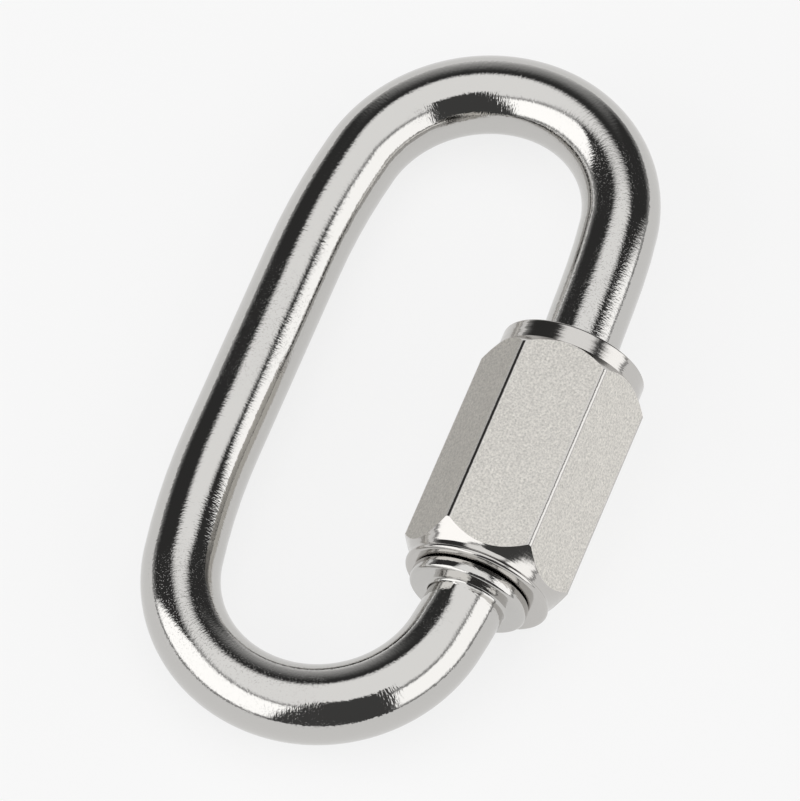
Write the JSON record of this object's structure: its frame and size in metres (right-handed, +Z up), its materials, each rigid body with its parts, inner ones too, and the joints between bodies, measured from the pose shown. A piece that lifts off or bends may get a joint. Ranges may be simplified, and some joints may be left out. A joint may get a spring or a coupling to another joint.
{
  "type": "chain quick link",
  "caption": "Oval link of round steel bar with a screw gate in one long side: a hexagonal sleeve nut runs up the bar to open the gate for a chain, ring or rope eye.",
  "frame": {"origin": "centre of the bounding box in plan, on the surface that the link lies on", "axes": "+X along the link towards the arm that the nut runs up, +Y towards the far arm, +Z up"},
  "size_m": [0.058, 0.031, 0.011],
  "materials": {
    "polished_bar": "polished, with faint fine marks",
    "nut_steel": "matt flats, turned and polished ends"
  },
  "bodies": {
    "link": {"link_body": "polished_bar"},
    "nut": {"sleeve_nut": "nut_steel"}
  },
  "joints": [
    {"name": "nut_travel", "type": "slide", "parent": "link", "child": "nut", "axis": [1, 0, 0], "range_m": [0, 0.009]}
  ]
}
